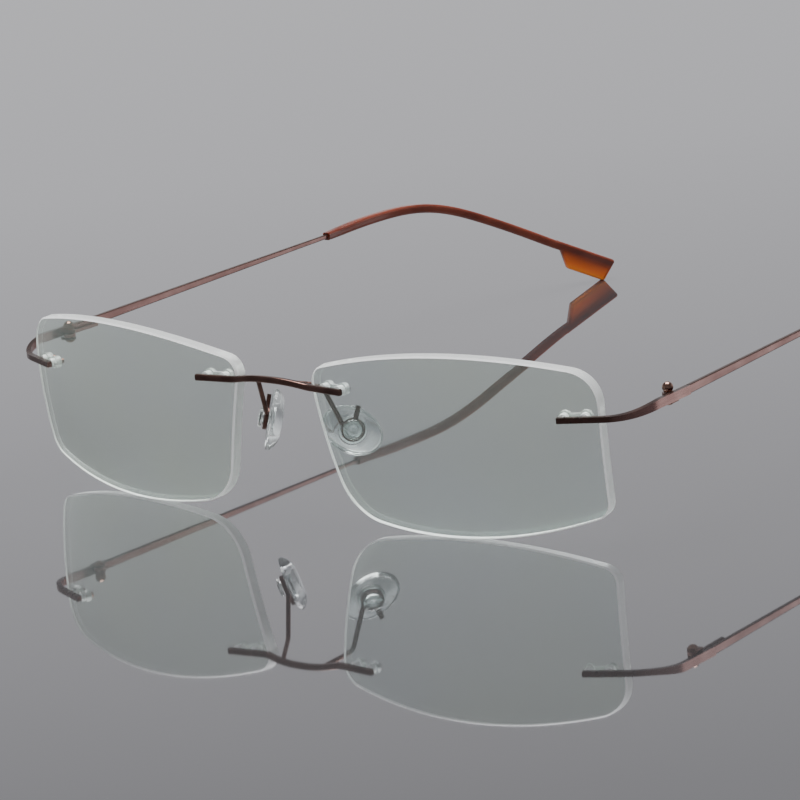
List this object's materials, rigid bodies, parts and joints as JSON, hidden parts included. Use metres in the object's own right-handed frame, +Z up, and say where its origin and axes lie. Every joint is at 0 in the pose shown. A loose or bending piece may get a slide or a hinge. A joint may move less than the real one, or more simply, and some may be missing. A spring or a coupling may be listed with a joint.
{
  "type": "rimless eyeglasses",
  "caption": "Rimless eyeglasses: drilled rectangular lenses on a slim brown metal bridge and hinged temples, with clear rocking nose pads and translucent amber ear tips.",
  "frame": {"origin": "the middle of the object's footprint, on the surface that the open glasses stand on", "axes": "+X towards the wearer's left, +Y back along the temples, +Z up"},
  "size_m": [0.1358, 0.1536, 0.0312],
  "materials": {
    "lens": "clear with a faint green anti-reflection coating, frosted ground edges",
    "frame_metal": "coffee-brown plated titanium, satin with a copper sheen",
    "screw_metal": "polished brown plated steel",
    "clear_bushing": "clear moulded plastic",
    "pad_silicone": "clear soft silicone",
    "tip_plastic": "translucent amber-brown acetate"
  },
  "bodies": {
    "front": {"bridge": "frame_metal", "lens_left": "lens", "nasal_posts_left": "frame_metal", "temporal_posts_left": "frame_metal", "nasal_bushing_left": "clear_bushing", "temporal_bushing_left": "clear_bushing", "endpiece_left": "frame_metal", "hinge_block_left": "frame_metal", "hinge_screw_left": "screw_metal", "hinge_nut_left": "screw_metal", "pad_arm_left": "frame_metal", "pad_holder_left": "frame_metal", "lens_right": "lens", "nasal_posts_right": "frame_metal", "temporal_posts_right": "frame_metal", "nasal_bushing_right": "clear_bushing", "temporal_bushing_right": "clear_bushing", "endpiece_right": "frame_metal", "hinge_block_right": "frame_metal", "hinge_screw_right": "screw_metal", "hinge_nut_right": "screw_metal", "pad_arm_right": "frame_metal", "pad_holder_right": "frame_metal"},
    "temple_arm_left": {"temple_left": "frame_metal", "temple_tip_left": "tip_plastic", "hinge_leaf_left": "frame_metal"},
    "temple_arm_right": {"temple_right": "frame_metal", "temple_tip_right": "tip_plastic", "hinge_leaf_right": "frame_metal"},
    "pad_mount_left": {"pad_stud_left": "clear_bushing"},
    "pad_body_left": {"nose_pad_left": "pad_silicone"},
    "pad_mount_right": {"pad_stud_right": "clear_bushing"},
    "pad_body_right": {"nose_pad_right": "pad_silicone"}
  },
  "joints": [
    {"name": "temple_left_fold", "type": "hinge", "parent": "front", "child": "temple_arm_left", "pos_m": [0.06557, -0.05392, 0.0215], "axis": [0, 0, 1], "range_deg": [-3.3, 82.7]},
    {"name": "temple_right_fold", "type": "hinge", "parent": "front", "child": "temple_arm_right", "pos_m": [-0.06557, -0.05392, 0.0215], "axis": [0, 0, -1], "range_deg": [0, 80]},
    {"name": "nose_pad_left_rock", "type": "hinge", "parent": "front", "child": "pad_mount_left", "pos_m": [0.01, -0.06687, 0.01475], "axis": [0.0328, 0.4309, 0.9018], "range_deg": [-8, 8]},
    {"name": "nose_pad_right_rock", "type": "hinge", "parent": "front", "child": "pad_mount_right", "pos_m": [-0.01, -0.06687, 0.01475], "axis": [0.0328, -0.4309, -0.9018], "range_deg": [-8, 8]},
    {"name": "nose_pad_left_turn", "type": "hinge", "parent": "pad_mount_left", "child": "pad_body_left", "pos_m": [0.01, -0.06687, 0.01475], "axis": [-0.7128, 0.6425, -0.2811], "range_deg": [-16, 164]},
    {"name": "nose_pad_right_turn", "type": "hinge", "parent": "pad_mount_right", "child": "pad_body_right", "pos_m": [-0.01, -0.06687, 0.01475], "axis": [0.7128, 0.6425, -0.2811], "range_deg": [-90, 90]}
  ]
}
